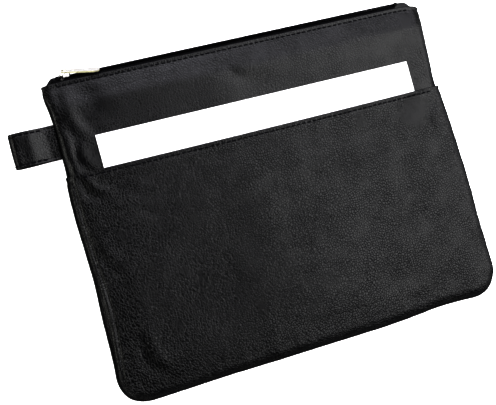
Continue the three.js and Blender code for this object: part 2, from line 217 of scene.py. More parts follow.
LOOP_MIDDLE_Y = (strap_low[1] + strap_high[1]) / 2
LOOP_HALF_WIDTH = (strap_high[1] - strap_low[1]) / 2
LOOP_SPREAD = 1.25  # what the loop's tails add to each half of the seam


def loop_spread(x, y):
    """The seam opens a little where the loop's two tails go into it."""
    away = np.abs(y - LOOP_MIDDLE_Y)
    return LOOP_SPREAD * (1 - smooth(away, LOOP_HALF_WIDTH, LOOP_HALF_WIDTH + 7)) * (x < 0)


def rim_height(kind, x, y):
    """Where a skin ends beside the seam, before it turns in."""
    skin = SKINS[kind]
    if "lining" in kind:
        return SEAM_Z + skin["side"] * 0.15
    lift = 0.05 + SEAM_FILLET + loop_spread(x, y)
    if kind == "front":
        lift = lift + (LEATHER + 0.1) * (1 - smooth(y, POCKET_TOP - 5, POCKET_TOP + 1))
    return SEAM_Z + skin["side"] * lift


def height(kind, x, y):
    """The plain skin's height, rolled over towards its seam."""
    skin = SKINS[kind]
    width = ROLL_WIDTH + skin["outset"]
    distance = np.clip(edge_distance(x, y, skin["outset"]), 0, width)
    roll = (1 - (1 - distance / width) ** ROLL_POWER) ** (1 / ROLL_POWER)
    rim = rim_height(kind, x, y)
    top = plateau(skin["side"], y) + skin["side"] * skin["lift"]
    return rim + (top - rim) * roll


def crease(x, y, start, end, depth, width):
    """A soft fold along a line: a valley beside a lower ridge."""
    start, end = np.array(start, float), np.array(end, float)
    along = end - start
    length = np.hypot(*along)
    along = along / length
    run = (x - start[0]) * along[0] + (y - start[1]) * along[1]
    off = (y - start[1]) * along[0] - (x - start[0]) * along[1]
    off = off + 0.12 * length * np.sin(run / length * 3.1) ** 2
    fade_in = smooth(run, -0.15 * length, 0.3 * length)
    fade_out = 1 - smooth(run, 0.6 * length, 1.15 * length)
    ends = fade_in * fade_out
    return ends * depth * (0.6 * hump(off, 1.6 * width, width) - hump(off, 0, width))


# start and end of each crease in (x, y), then its depth and its width
FRONT_CREASES = [
    ((-121, 92), (-113, 56), 0.6, 4.0),
    ((-113, 90), (-104, 64), 0.3, 5.0),
    ((-119, 62), (-112, 38), 0.4, 3.0),
    ((-20, 88), (18, 70), 0.35, 5.0),
    ((60, 90), (92, 74), 0.3, 6.0),
    ((112, 92), (120, 55), 0.2, 5.0),
]
POCKET_CREASES = [
    ((-122, 38), (-108, 22), 0.9, 3.0),
    ((-124, 20), (-113, -26), 0.6, 4.0),
    ((-100, 26), (-56, 18), 0.3, 4.0),
    ((-96, 14), (-60, 8), 0.25, 3.5),
    ((120, 36), (110, 12), 0.6, 4.0),
    ((60, -92), (96, -78), 0.5, 6.0),
    ((-112, -60), (-100, -90), 0.6, 4.0),
]
BACK_CREASES = [
    ((-118, 80), (-102, 40), 0.6, 5.0),
    ((20, 20), (70, -10), 0.4, 8.0),
    ((118, -50), (104, -84), 0.6, 4.0),
    ((-60, -60), (-10, -76), 0.35, 7.0),
]


LONG_PUCKER = 0.4  # depth of the puckers beside the seam
SHORT_PUCKER = 0.16
PUCKER_REACH = 5.5
SEAM_RIDGE = 0.2  # height of the ridge over the allowance's edge
SEAM_SEED = 11  # the same for every panel, since they share their seam


def seam_relief(x, y, distance):
    """Puckers beside the seam, and the ridge that the turned allowance makes."""
    run = edge_run(x, y)
    pucker = waves(run, 0 * run, 13, SEAM_SEED) * LONG_PUCKER
    pucker = pucker + waves(run, 0 * run, 6, SEAM_SEED + 1) * SHORT_PUCKER
    near = np.exp(-np.maximum(distance, 0) / PUCKER_REACH) * smooth(distance, -1, 3)
    ridge = SEAM_RIDGE * hump(distance, 4.5, 2.2) - SEAM_RIDGE * hump(distance, 9, 3)
    return pucker * near + ridge * (0.6 + 0.4 * waves(run, 0 * run, 40, SEAM_SEED + 2))


def slack(x, y, seed):
    """0 to 1: how far the loose leather has moved."""
    broad = waves(x, y * 1.3, 95, seed) + 0.45 * waves(x, y, 42, seed + 1)
    return np.clip(0.5 + 0.42 * broad, 0, 1)


LIP_PADDING = 0.16
GROOVE_DEPTH = 0.4
GROOVE_WIDTH = 0.8
HEM = 9  # width of the leather turned in at the top edges
POCKET_HEM = 8
HEM_STEP = 0.22


def top_edge_relief(y, edge, stitch_y, hem):
    """A turned edge: padded lip, stitch groove, and the step where the turned leather ends."""
    lip = LIP_PADDING * hump(y, (edge + stitch_y) / 2 + 0.2, 0.8)
    groove = -GROOVE_DEPTH * hump(y, stitch_y, GROOVE_WIDTH)
    step = HEM_STEP * smooth(y, edge - hem - 1.5, edge - hem + 1.5)
    return lip + groove + step


DENT_DEPTH = 1.1
DENT_X = -103  # below the closed slider's pull


def dent(x, y):
    """The hollow that the pull presses into the top edge beside the closed slider."""
    down = TOP - y
    reach = smooth(down, 1.5, 11) * (1 - smooth(down, 13, 34))
    return -DENT_DEPTH * hump(x, DENT_X, 8) * reach


FOLD_RIDGE = 0.5  # height of the strip beside the pocket's left seam
FOLD_VALLEY = 0.8  # depth of the groove inside it


def side_fold(x, y, distance):
    """The left side of the pocket: a rounded strip by the seam, and the valley inside it."""
    valley = 3.9 + 2.5 * hump(y, -45, 22)
    top_end = 1 - smooth(y, POCKET_TOP - 8, POCKET_TOP - 2)
    reach = smooth(y, BOTTOM + 8, BOTTOM + 26) * top_end * (x < 0)
    ridge = FOLD_RIDGE * hump(distance, valley - 2.0, 1.4)
    return reach * (ridge - FOLD_VALLEY * hump(distance, valley, 0.65))


# how far the loose leather moves: the front and back sink, and the pocket bulges
SLACK = {"front": -0.95, "back": -1.0, "pocket": 1.0, "lining": -0.25}
SIDE_TUCK = 0.9  # where the pocket's edge goes into the side seams


def relief(kind, x, y):
    """How far the leather stands out from its plain skin, along the skin's normal."""
    outset = SKINS[kind]["outset"]
    distance = edge_distance(x, y, outset)
    inside = smooth(distance, 4, 26)
    below_mouth = 1 - smooth(y, TOP - 30, TOP - 14)
    side_tuck = -SIDE_TUCK * (1 - smooth(distance, 0.5, 6)) * hump(y, POCKET_TOP - 1, 9)
    if kind == "front":
        folds = sum(crease(x, y, *line) for line in FRONT_CREASES)
        under_pocket = 1 - smooth(y, POCKET_TOP - 12, POCKET_TOP)
        seam = seam_relief(x, y, distance) * (1 - under_pocket)
        loose = SLACK["front"] * slack(x, y, 21) * inside * below_mouth
        edge = top_edge_relief(y, TOP, TOP_STITCH_Y, HEM) - HEM_STEP + dent(x, y)
        folds = np.minimum(folds, 0.2 + 0.6 * (1 - smooth(distance, 12, 20))) * (1 - under_pocket)
        return seam + loose + folds + edge + side_tuck
    if kind == "back":
        folds = sum(crease(x, y, *line) for line in BACK_CREASES)
        loose = SLACK["back"] * slack(x, y, 31) * inside * below_mouth
        edge = top_edge_relief(y, TOP + BACK_RISE, TOP_STITCH_Y + BACK_RISE, HEM) - HEM_STEP
        seam = seam_relief(x, y, distance)
        return seam + loose + np.minimum(folds, 0) + edge
    if kind == "pocket":
        folds = sum(crease(x, y, *line) for line in POCKET_CREASES)
        loose = SLACK["pocket"] * slack(x, y, 41) * inside
        loose = loose * (1 - smooth(y, POCKET_TOP - 26, POCKET_TOP - 6))
        edge = top_edge_relief(y, POCKET_TOP, POCKET_STITCH_Y, POCKET_HEM)
        seam = seam_relief(x, y, distance)
        folds = np.maximum(folds * inside, -0.5) + folds * (1 - inside)
        return seam + loose + folds + edge + side_tuck + side_fold(x, y, distance)
    return SLACK["lining"] * slack(x, y, 51) + (dent(x, y) if kind == "front_lining" else 0)


LEFT_PULL = 1.3  # how far the left side pulls in beside the loop
RIGHT_PULL = 2.6  # and the right side, above its middle
CORNER_PUSH = 1.7  # how far the left bottom corner is pushed out
POCKET_SAG = 0.5  # of the pocket's edge, in its middle


def warp(points, kind):
    """The stretched outline: its sides pull in, and its bottom edge waves a little."""
    # in each hump: how far, then where along the edge, and how wide
    x, y, z = points[..., 0], points[..., 1], points[..., 2]
    left = LEFT_PULL * hump(y, 62, 24) - 0.9 * hump(y, 92, 8) + 1.2 * hump(y, -18, 36)
    left = left + 0.2 * waves(y, 0 * y, 45, 3)
    right = RIGHT_PULL * hump(y, 38, 38) + 0.7 * hump(y, -50, 45) - 0.5 * hump(y, 99, 16)
    right = right + 0.2 * waves(y, 0 * y, 45, 4)
    share = np.clip(np.abs(x) / HALF, 0, 1.2) ** 1.5
    shift = np.where(x < 0, left, -right) * share
    drop = droop(np.clip(x, -HALF, HALF)) * mouth_share(y)
    low = 1 - smooth(y, BOTTOM, BOTTOM + 50)
    lift = low * (0.15 * waves(x, 0 * x, 60, 5) + 0.4 * hump(x, -60, 40) + 1.9 * hump(x, 88, 24))
    corner = CORNER_PUSH * hump(-x, HALF - 5, 10) * hump(y, BOTTOM + 8, 16)
    lift = lift - 0.6 * corner
    if kind == "back":
        end = np.where(x < 0, smooth(-x, HALF - 8, HALF - 1), smooth(x, HALF - 6, HALF + 0.5))
        drop = drop + BACK_RISE * end * smooth(y, TOP - 10, TOP + 4)
    if kind == "pocket":
        drop = drop + POCKET_SAG * (1 - (x / HALF) ** 2) * smooth(y, POCKET_TOP - 25, POCKET_TOP)
    return np.stack([x + shift - corner, y - drop + lift, z], axis=-1)


def skin(kind, x, y, lift=0.0):
    """Places on a skin, as (points, normals), lifted off it by lift."""
    x, y = np.broadcast_arrays(np.asarray(x, float), np.asarray(y, float))
    side = SKINS[kind]["side"]
    step = 0.02
    slope_x = (height(kind, x + step, y) - height(kind, x - step, y)) / (2 * step)
    slope_y = (height(kind, x, y + step) - height(kind, x, y - step)) / (2 * step)
    normal = side * np.stack([-slope_x, -slope_y, np.ones_like(slope_x)], axis=-1)
    normal /= np.linalg.norm(normal, axis=-1, keepdims=True)
    base = np.stack([x, y, height(kind, x, y)], axis=-1)
    out = relief(kind, x, y) + lift
    return warp(base + normal * out[..., None], kind), normal


def skin_places(kind):
    """The grid of places on a skin. Rows climb from the bottom seam to the top."""
    outset, top = SKINS[kind]["outset"], SKINS[kind]["top"]
    half, radius, bottom = HALF + outset, CORNER_RADIUS + outset, BOTTOM - outset
    roll = ROLL_WIDTH + outset
    turns = np.linspace(0, math.pi / 2, 19)
    corner_y = bottom + radius * (1 - np.cos(turns))
    corner_half = half - radius * (1 - np.sin(turns))
    rows = max(4, round((top - bottom - radius) / GRID_PITCH))
    straight_y = np.linspace(bottom + radius, top, rows + 1)[1:]
    row_y = np.concatenate([corner_y, straight_y])
    row_half = np.concatenate([corner_half, np.full(rows, half)])
    edge = roll * (1 - np.cos(np.linspace(0, math.pi / 2, 25)))
    middle = np.linspace(-1, 1, round(2 * (half - roll) / GRID_PITCH) + 1)[1:-1]
    left = -row_half[:, None] + edge[None, :]
    centre = (row_half - roll)[:, None] * middle[None, :]
    x = np.concatenate([left, centre, -left[:, ::-1]], axis=1)
    y = np.broadcast_to(row_y[:, None], x.shape)
    return x, y


# ---------------------------------------------------------------- meshes
def directions(line):
    """The unit direction at each point of a line."""
    run = np.gradient(line, axis=0)
    return run / np.linalg.norm(run, axis=1, keepdims=True)


def make_piece(name, points, faces, material):
    """One closed mesh, from points in millimetres."""
    mesh = bpy.data.meshes.new(name)
    mesh.from_pydata((np.asarray(points, float) * MM).tolist(), [], [list(f) for f in faces])
    shaped = bmesh.new()
    shaped.from_mesh(mesh)
    bmesh.ops.remove_doubles(shaped, verts=shaped.verts, dist=1e-7)
    bmesh.ops.recalc_face_normals(shaped, faces=shaped.faces)
    shaped.to_mesh(mesh)
    shaped.free()
    mesh.materials.append(material)
    mesh.shade_smooth()
    piece = bpy.data.objects.new(name, mesh)
    bpy.context.scene.collection.objects.link(piece)
    return piece


def strip(lower, upper):
    """Faces between two rows of point numbers."""
    steps = range(len(lower) - 1)
    return [(lower[i], lower[i + 1], upper[i + 1], upper[i]) for i in steps]


def bar_faces(rings, count):
    """Faces of a solid bar made of rings of count points, with its two ends."""
    faces = []
    for step in range(rings - 1):
        ring = np.append(np.arange(count), 0) + step * count
        faces += strip(ring, ring + count)
    return faces + [list(range(count)), list(range((rings - 1) * count, rings * count))]


def skin_shell(name, kind, material, flange=4.0):
    """A panel with its thickness, its rounded top edge and, given a flange, a seam allowance."""
    side, thickness = SKINS[kind]["side"], SKINS[kind]["thickness"]
    x, y = skin_places(kind)
    rows, columns = x.shape
    outer, normal = skin(kind, x, y)
    inner = skin(kind, x, y, -thickness)[0]
    points = [outer.reshape(-1, 3), inner.reshape(-1, 3)]
    number = np.arange(rows * columns).reshape(rows, columns)
    inner_number = number + rows * columns
    faces = []
    for grid in (number, inner_number):
        for row in range(rows - 1):
            faces += strip(grid[row], grid[row + 1])
    count = 2 * rows * columns

    lip_rows = [number[-1]]
    middle = (outer[-1] + inner[-1]) / 2
    reach = (outer[-1] - inner[-1]) / 2
    for angle in np.radians([22.5, 45, 67.5, 90, 112.5, 135, 157.5]):
        up = np.array([0, thickness / 2 * math.sin(angle), 0])
        points.append(middle + reach * math.cos(angle) + up)
        lip_rows.append(np.arange(count, count + columns))
        count += columns
    lip_rows.append(inner_number[-1])
    for lower, upper in zip(lip_rows, lip_rows[1:]):
        faces += strip(lower, upper)

    rim = np.concatenate([number[:0:-1, 0], number[0, :], number[1:, -1]])
    rings = [rim]
    if flange:
        place = outer.reshape(-1, 3)[rim]
        run = directions(place[:, :2])
        outward = np.stack([run[:, 1], -run[:, 0], 0 * run[:, 0]], axis=1)
        down = np.array([0, 0, -side])
        turn = [(math.sin(a), 1 - math.cos(a)) for a in np.radians([22.5, 45, 67.5, 90])]
        path = [(SEAM_FILLET * fall, SEAM_FILLET * across) for fall, across in turn]
        path += [(SEAM_FILLET, flange / 2), (SEAM_FILLET, flange)]
        path += [(SEAM_FILLET - thickness * 0.9, flange), (SEAM_FILLET - thickness, flange / 2)]
        for fall, across in path:
            points.append(place + down * fall - outward * across)
            rings.append(np.arange(count, count + len(rim)))
            count += len(rim)
    rings.append(inner_number.reshape(-1)[rim])
    for lower, upper in zip(rings, rings[1:]):
        faces += strip(lower, upper)
    for end in (0, -1):
        lip_end = [row[end] for row in lip_rows[-2:0:-1]]
        faces.append([ring[end] for ring in rings] + lip_end)
    return make_piece(name, np.concatenate(points), faces, material)


def tube_parts(line, radius, sides, up, first=0):
    """Points and faces of a round tube along a line, closed at its ends."""
    line = np.asarray(line, float)
    run = directions(line)
    across = np.cross(run, up)
    across /= np.linalg.norm(across, axis=1, keepdims=True)
    over = np.cross(across, run)
    angles = np.linspace(0, 2 * math.pi, sides, endpoint=False)
    cosine = np.cos(angles)[None, :, None]
    sine = np.sin(angles)[None, :, None]
    ring = cosine * across[:, None] + sine * over[:, None]
    radius = np.broadcast_to(radius, len(line))
    points = (line[:, None] + ring * radius[:, None, None]).reshape(-1, 3)
    faces = []
    for step in range(len(line) - 1):
        for k in range(sides):
            here = first + step * sides + k
            beside = first + step * sides + (k + 1) % sides
            faces.append((here, beside, beside + sides, here + sides))
    last = first + (len(line) - 1) * sides
    faces.append([first + k for k in range(sides)][::-1])
    faces.append([last + k for k in range(sides)])
    return points, faces


def tubes(name, lines, radius, sides, ups, material):
    """Many tubes as one piece."""
    points, faces, first = [], [], 0
    for line, up in zip(lines, ups):
        more_points, more_faces = tube_parts(line, radius, sides, up, first)
        points.append(more_points)
        faces += more_faces
        first += len(more_points)
    return make_piece(name, np.concatenate(points), faces, material)


# ---------------------------------------------------------------- stitches
THREAD_RADIUS = 0.33  # of one of the two strands
STRAND_OFFSET = 0.2  # from the stitch's middle to each strand's
STITCH_DIP = 0.75  # how far a stitch's ends go into their holes
STITCH_TWIST = math.pi * 1.7  # the strands' turn from the middle to an end


def stitch_lines(places, normals, rise):
    """The two twisted strands of one stitch over the surface, dipping into its holes."""
    across = np.cross(directions(places), normals)
    share = np.linspace(-1, 1, len(places))
    arch = rise * (1 - share**6) - STITCH_DIP * share**10
    middle = places + normals * arch[:, None]
    twist = share * STITCH_TWIST
    offset = np.cos(twist)[:, None] * across + np.sin(twist)[:, None] * normals
    offset = STRAND_OFFSET * offset
    return [middle + offset, middle - offset]


def stitch_row(name, path, material, pitch=STITCH_PITCH, rise=0.24, fill=0.74):
    """A row of stitches. path(distances) gives points and normals at lengths along the row."""
    length = path.length
    count = int(length // pitch)
    margin = (length - count * pitch) / 2
    lines, ups = [], []
    for stitch in range(count):
        middle = margin + (stitch + 0.5) * pitch
        places, normals = path(middle + np.linspace(-0.5, 0.5, 11) * pitch * fill)
        lines += stitch_lines(places, normals, rise)
        ups += [normals[5]] * 2
    return tubes(name, lines, THREAD_RADIUS, 6, ups, material)


class SkinRow:
    """A straight row across a skin at one height, as a path for stitches."""

    def __init__(self, kind, y, left, right):
        self.kind, self.y, self.left = kind, y, left
        self.length = right - left

    def __call__(self, distances):
        x = self.left + distances
        return skin(self.kind, x, np.full_like(x, self.y))


class LineRow:
    """A path through given points with given normals."""

    def __init__(self, points, normals):
        self.points, self.normals = np.array(points, float), np.array(normals, float)
        steps = np.linalg.norm(np.diff(self.points, axis=0), axis=1)
        self.at = np.concatenate([[0], np.cumsum(steps)])
        self.length = self.at[-1]

    def __call__(self, distances):
        place = self.between(distances, self.points)
        normal = self.between(distances, self.normals)
        return place, normal / np.linalg.norm(normal, axis=1, keepdims=True)

    def between(self, distances, values):
        parts = [np.interp(distances, self.at, values[:, axis]) for axis in range(3)]
        return np.stack(parts, axis=1)


# ---------------------------------------------------------------- materials
class Nodes:
    """A short way to write a node material. Textures lie in the object's own space."""

    def __init__(self, name):
        self.material = bpy.data.materials.new(name)
        self.material.use_nodes = True
        self.tree = self.material.node_tree
        self.shader = self.tree.nodes["Principled BSDF"]
        self.place = self.add("ShaderNodeTexCoord").outputs["Object"]

    def add(self, kind, inputs=(), **settings):
        node = self.tree.nodes.new(kind)
        for key, value in settings.items():
            setattr(node, key, value)
        for key, value in dict(inputs).items():
            if isinstance(value, bpy.types.NodeSocket):
                self.tree.links.new(value, node.inputs[key])
            else:
                node.inputs[key].default_value = value
        return node

    def math(self, operation, a, b):
        return self.add("ShaderNodeMath", {0: a, 1: b}, operation=operation).outputs[0]

    def noise(self, size, detail=3.0, place=None, roughness=0.5):
        """Noise whose blobs are about size millimetres."""
        inputs = {"Vector": place or self.place, "Scale": 1 / (size * MM), "Detail": detail}
        return self.add("ShaderNodeTexNoise", {**inputs, "Roughness": roughness}).outputs[0]

    def stretched(self, scale):
        return self.add("ShaderNodeMapping", {"Vector": self.place, "Scale": scale}).outputs[0]

    def ramp(self, value, low, high, first, last, shape="LINEAR"):
        inputs = {"Value": value, "From Min": low, "From Max": high}
        inputs = {**inputs, "To Min": first, "To Max": last}
        return self.add("ShaderNodeMapRange", inputs, interpolation_type=shape).outputs[0]

    def mix(self, share, first, last):
        node = self.add("ShaderNodeMix", data_type="RGBA")
        self.tree.links.new(share, node.inputs[0])
        node.inputs[6].default_value = (*first, 1)
        node.inputs[7].default_value = (*last, 1)
        return node.outputs[2]

    def bump(self, height, depth, normal=None):
        """depth is in millimetres."""
        inputs = {"Height": height, "Distance": depth * MM, "Strength": 1.0}
        if normal is not None:
            inputs["Normal"] = normal
        return self.add("ShaderNodeBump", inputs).outputs[0]

    def finish(self, **inputs):
        for key, value in inputs.items():
            socket = self.shader.inputs[key.replace("_", " ")]
            if isinstance(value, bpy.types.NodeSocket):
                self.tree.links.new(value, socket)
            else:
                socket.default_value = value
        return self.material


PEBBLE = 1.5  # size of the leather's grain
PEBBLE_WOBBLE = 1.1  # how far the grain's pattern is moved about


def leather_material(name, rough, grain_depth):
    """Black leather: rounded pebbles, fine pores, a few stretch wrinkles and uneven polish."""
    n = Nodes(name)
    inputs = {"Vector": n.place, "Scale": 420.0, "Detail": 2.0}
    wobble = n.add("ShaderNodeTexNoise", inputs).outputs[1]
    inputs = {0: wobble, 3: PEBBLE_WOBBLE * MM}
    spread = n.add("ShaderNodeVectorMath", inputs, operation="SCALE").outputs[0]
    inputs = {0: n.place, 1: spread}
    moved = n.add("ShaderNodeVectorMath", inputs, operation="ADD").outputs[0]
    inputs = {"Vector": moved, "Scale": 1 / (PEBBLE * MM), "Randomness": 0.9}
    valleys = n.add("ShaderNodeTexVoronoi", inputs, feature="DISTANCE_TO_EDGE").outputs[0]
    far = n.add("ShaderNodeTexVoronoi", inputs, feature="F1").outputs[0]
    pebbles = n.ramp(valleys, 0.0, 0.2, 0.0, 1.0, "SMOOTHSTEP")
    dome = n.math("MULTIPLY", n.math("MULTIPLY", far, far), 0.7)
    uneven = n.ramp(n.noise(14, 3), 0.35, 0.65, 0.5, 1.0)
    grain = n.math("MULTIPLY", n.math("SUBTRACT", pebbles, dome), uneven)
    wrinkles = n.noise(6, 3, n.stretched((0.35, 1.2, 1.0)), 0.5)
    fine = n.noise(0.45, 3)
    first = n.bump(wrinkles, 0.05)
    second = n.bump(grain, grain_depth, first)
    third = n.bump(fine, 0.004, second)
    patches = n.ramp(n.noise(38, 3), 0.35, 0.68, 0, 1)
    shade = n.mix(patches, (0.0012, 0.0012, 0.0013), (0.0024, 0.0024, 0.0027))
    polish = n.ramp(n.noise(22, 4), 0.3, 0.7, rough - 0.05, rough + 0.07)
    polish = n.math("ADD", polish, n.ramp(pebbles, 0.0, 1.0, 0.1, 0.0))
    return n.finish(Base_Color=shade, Roughness=polish, Normal=third, Specular_IOR_Level=0.16)


def cloth_material(name, dark, light, thread, rough=0.9):
    """Plain woven cloth: two crossed sets of ribs and loose fibres."""
    n = Nodes(name)
    ribs = []
    for axis in ("X", "Y"):
        settings = {"wave_type": "BANDS", "bands_direction": axis, "wave_profile": "SIN"}
        scale = 0.314 / (thread * MM)
        inputs = {"Vector": n.place, "Scale": scale, "Distortion": 0.4, "Detail": 1.0}
        ribs.append(n.add("ShaderNodeTexWave", inputs, **settings).outputs[1])
    weave = n.math("MAXIMUM", *ribs)
    fibres = n.noise(0.2, 3)
    first = n.bump(weave, 0.12)
    second = n.bump(fibres, 0.05, first)
    shade = n.mix(n.math("MULTIPLY", weave, n.noise(4, 3)), dark, light)
    return n.finish(Base_Color=shade, Roughness=rough, Normal=second, Specular_IOR_Level=0.3)


def tape_material():
    """Knitted zip tape: ribs along the zip, with a short herringbone across them."""
    n = Nodes("zip_tape")
    settings = {"wave_type": "BANDS", "bands_direction": "Y", "wave_profile": "SIN"}
    inputs = {"Vector": n.place, "Scale": 560.0, "Distortion": 0.3}
    along = n.add("ShaderNodeTexWave", inputs, **settings)
    settings = {"wave_type": "BANDS", "bands_direction": "DIAGONAL", "wave_profile": "SIN"}
    inputs = {"Vector": n.place, "Scale": 700.0, "Distortion": 0.8}
    across = n.add("ShaderNodeTexWave", inputs, **settings)
    weave = n.math("ADD", along.outputs[1], across.outputs[1])
    rough = n.bump(n.noise(0.15, 2), 0.05, n.bump(weave, 0.08))
    share = n.ramp(weave, 0.2, 1.8, 0, 1)
    shade = n.mix(share, (0.0006, 0.0006, 0.001), (0.0025, 0.0025, 0.0035))
    return n.finish(Base_Color=shade, Roughness=0.85, Normal=rough, Specular_IOR_Level=0.05)


def coil_material():
    """Black nylon, a little uneven."""
    n = Nodes("nylon_coil")
    marks = n.noise(0.6, 3)
    shade = n.mix(marks, (0.0006, 0.0006, 0.0008), (0.002, 0.002, 0.0025))
    return n.finish(
        Base_Color=shade,
        Roughness=n.ramp(marks, 0.3, 0.7, 0.45, 0.6),
        Normal=n.bump(n.noise(0.2, 2), 0.01),
        Specular_IOR_Level=0.04,
    )


def thread_material():
    """Waxed polyester thread with its fibres along the twist."""
    n = Nodes("thread")
    fibres = n.noise(0.12, 3, n.stretched((0.6, 1.6, 1.6)))
    shade = n.mix(fibres, (0.001, 0.001, 0.002), (0.003, 0.003, 0.0045))
    return n.finish(
        Base_Color=shade, Roughness=0.85, Normal=n.bump(fibres, 0.05), Specular_IOR_Level=0.06
    )


NICKEL_DARK = (0.86, 0.85, 0.80)
NICKEL_LIGHT = (0.93, 0.92, 0.89)
# painted shade: the darker yellow that the pull's side faces get, to draw its outline
NICKEL_EDGE_SHADE = (0.42, 0.40, 0.25, 1)


def nickel_material(name, flat=None):
    """Bright nickel plate with fine scratches. Given a plate's normal, its side faces get a
    painted shade of darker yellow.
    """
    n = Nodes(name)
    patches = n.noise(2.4, 4)
    scratches = n.noise(0.35, 4, n.stretched((0.12, 1.0, 1.0)), 0.7)
    shade = n.mix(n.ramp(patches, 0.35, 0.7, 0, 1), NICKEL_DARK, NICKEL_LIGHT)
    if flat is not None:
        facing = n.add("ShaderNodeTexCoord").outputs["Normal"]
        inputs = {0: facing, 1: flat}
        level = n.add("ShaderNodeVectorMath", inputs, operation="DOT_PRODUCT").outputs["Value"]
        # painted shade: faces that turn away from the plate's normal take the darker yellow
        edge_shade = n.ramp(n.math("ABSOLUTE", level, 0.0), 0.7, 0.97, 1.0, 0.0)
        inputs = {0: edge_shade, 6: shade, 7: NICKEL_EDGE_SHADE}
        shade = n.add("ShaderNodeMix", inputs, data_type="RGBA").outputs[2]
    return n.finish(
        Base_Color=shade,
        Metallic=0.55,
        Roughness=n.ramp(n.math("ADD", patches, scratches), 0.8, 1.2, 0.16, 0.28),
        Normal=n.bump(scratches, 0.006),
    )


def paper_material():
    """Plain white paper with faint fibres."""
    n = Nodes("paper")
    fibres = n.noise(0.5, 5)
    shade = n.mix(fibres, (0.86, 0.86, 0.85), (0.93, 0.93, 0.925))
    return n.finish(Base_Color=shade, Roughness=0.75, Normal=n.bump(fibres, 0.02))


FLOOR_GLOW = 1.0


def floor_material():
    """A white table lit from below."""
    n = Nodes("floor")
    shade = n.mix(n.noise(220, 3), (0.88, 0.88, 0.88), (0.92, 0.92, 0.92))
    return n.finish(
        Base_Color=shade,
        Roughness=0.9,
        Specular_IOR_Level=0.1,
        Emission_Color=(1, 1, 1, 1),
        Emission_Strength=FLOOR_GLOW,
    )


FRONT_LEATHER = leather_material("front_leather", 0.21, 0.07)
POCKET_LEATHER = leather_material("pocket_leather", 0.21, 0.13)
BACK_LEATHER = leather_material("back_leather", 0.36, 0.08)
LINING = cloth_material("lining", (0.012, 0.012, 0.014), (0.035, 0.035, 0.04), 0.5)
TAPE = tape_material()
COIL = coil_material()
THREAD = thread_material()
PAPER = paper_material()


def place(piece, body, slot, *nodes):
    """A finished piece rides on its body and stands for its CAD nodes."""
    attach(piece, body)
    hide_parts(*nodes)
    return piece


# ---------------------------------------------------------------- panels
def make_panels():
    """The three leather panels, and the two halves of the lining."""
    front = skin_shell("front_leather", "front", FRONT_LEATHER)
    place(front, "bag", "front_leather", "front_panel")
    back = skin_shell("back_leather", "back", BACK_LEATHER)
    place(back, "bag", "back_leather", "back_panel")
    pocket = skin_shell("slip_pocket", "pocket", POCKET_LEATHER)
    place(pocket, "bag", "front_leather", "pocket_panel")
    for half in ("front_lining", "back_lining"):
        lining = skin_shell(half + "_cloth", half, LINING, flange=0)
        place(lining, "bag", "lining", half)


ROW_HALF = HALF - 7  # half the length of a stitch row across the bag


def make_rows():
    """The stitch rows below the two top edges and below the pocket's edge."""
    rows = {
        "front_top_stitches": ("front", TOP_STITCH_Y, "front_top_thread"),
        "back_top_stitches": ("back", TOP_STITCH_Y + BACK_RISE, "back_top_thread"),
        "pocket_stitches": ("pocket", POCKET_STITCH_Y, "pocket_top_thread"),
    }
    for name, (kind, y, node) in rows.items():
        row = stitch_row(name, SkinRow(kind, y, -ROW_HALF, ROW_HALF), THREAD)
        place(row, "bag", "thread", node)


# ---------------------------------------------------------------- paper slip
PAPER_CURL = 0.25
PAPER_THICKNESS = 0.22


def make_slip():
    """A sheet of paper, nearly flat, its top edge curling by a hair."""
    columns, rows = 64, 46
    x = np.linspace(slip_low[0], slip_high[0], columns + 1)
    y = np.linspace(slip_low[1], slip_high[1], rows + 1)
    grid_x, grid_y = np.meshgrid(x, y)
    curl = PAPER_CURL * smooth(grid_y, slip_high[1] - 26, slip_high[1])
    curl = curl * (0.6 + 0.4 * waves(grid_x, grid_y, 120, 61))
    low = np.stack([grid_x, grid_y, slip_low[2] + 0.02 + curl], axis=-1)
    high = low + np.array([0, 0, PAPER_THICKNESS])
    count = low[..., 0].size
    number = np.arange(count).reshape(grid_x.shape)
    faces = []
    for grid in (number, number + count):
        for row in range(rows):
            faces += strip(grid[row], grid[row + 1])
    edge = np.concatenate([number[0], number[1:, -1], number[-1, -2::-1], number[-2::-1, 0]])
    faces += strip(edge, edge + count)
    points = np.concatenate([low.reshape(-1, 3), high.reshape(-1, 3)])
    piece = make_piece("paper_slip", points, faces, PAPER)
    piece.data.set_sharp_from_angle(angle=math.radians(40))
    place(piece, "slip", "paper", "deposit_slip")


# ---------------------------------------------------------------- zip
TAPE_THICKNESS = 0.5
TAPE_LEFT = tape_low[0] - 2.0
TAPE_RIGHT = tape_high[0] - 2.0
TAPE_TUCK = 3.5  # how far the right end turns down, over the last 3 mm
TAPE_PERK = 1.6  # how far the left end stands up beyond the slider
COIL_LEFT = coil_low[0] - 3.0
COIL_PITCH = 1.25
COIL_WIRE = 0.27  # radius
COIL_INNER = 0.55  # from the zip's middle to the wire's middle at the heads
COIL_OUTER = 2.5 - COIL_WIRE


def tape_line(direction):
    """The tape's middle line in (z, y), from under the coil over the mouth's edge and down."""
    flat_y = tape_high[1] - TAPE_THICKNESS / 2
    leg = MOUTH_HALF - LEATHER - 0.45 - TAPE_THICKNESS / 2
    turn = 1.2
    line = [(0.45, flat_y)]
    for angle in np.radians(np.linspace(0, 90, 7)):
        line.append((leg - turn + turn * math.sin(angle), flat_y - turn + turn * math.cos(angle)))
    mouth = plateau(direction, TOP)
    for y in np.linspace(flat_y - turn, tape_low[1], 12)[1:]:
        line.append((leg + direction * (plateau(direction, y) - mouth), y))
    return [(MOUTH_Z + direction * across, y) for across, y in line]


